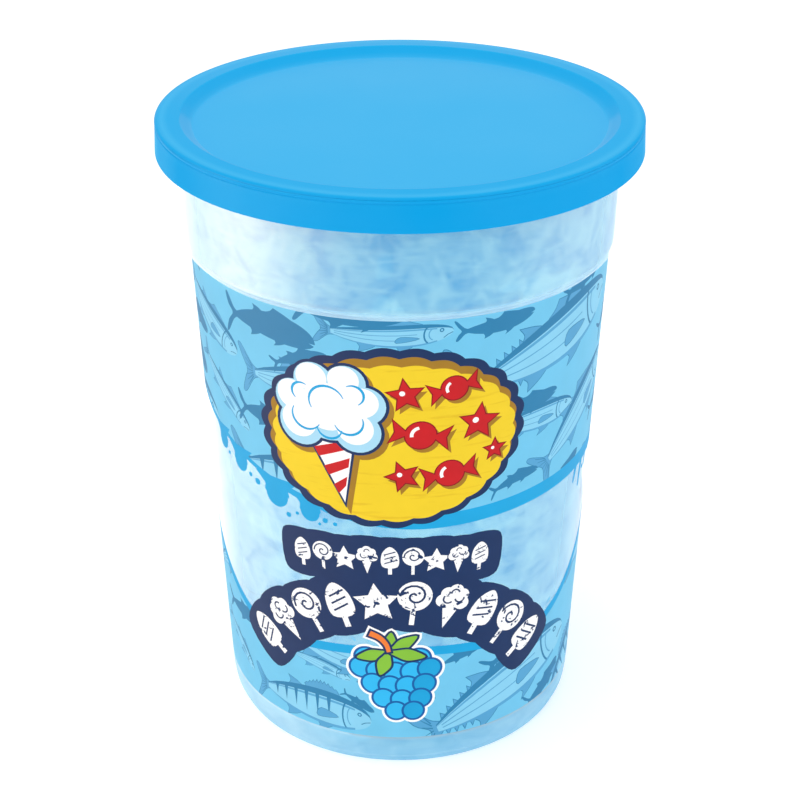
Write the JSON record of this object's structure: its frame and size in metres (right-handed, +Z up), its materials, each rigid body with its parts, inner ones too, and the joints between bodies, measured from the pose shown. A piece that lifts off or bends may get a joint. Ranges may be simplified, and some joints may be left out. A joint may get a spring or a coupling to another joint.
{
  "type": "tub of cotton candy",
  "caption": "Shut frosted plastic tub with a tapered body, stepped collar and press-on blue lid, packed full of pale blue cotton candy.",
  "frame": {"origin": "centre of the foot ring, on the surface that the tub stands on", "axes": "+Z up along the tub's own axis, from the foot to the lid; -Y towards the printed front"},
  "size_m": [0.1164, 0.1164, 0.1585],
  "materials": {
    "frosted_plastic": "frosted translucent polypropylene, satin",
    "blue_plastic": "moulded blue plastic, satin",
    "spun_sugar": "soft wispy spun sugar, pale blue",
    "print_ink": "printed inks in fields of colour"
  },
  "bodies": {
    "root": {"tub": "frosted_plastic", "lid": "blue_plastic", "cotton_candy": "spun_sugar"}
  },
  "joints": []
}
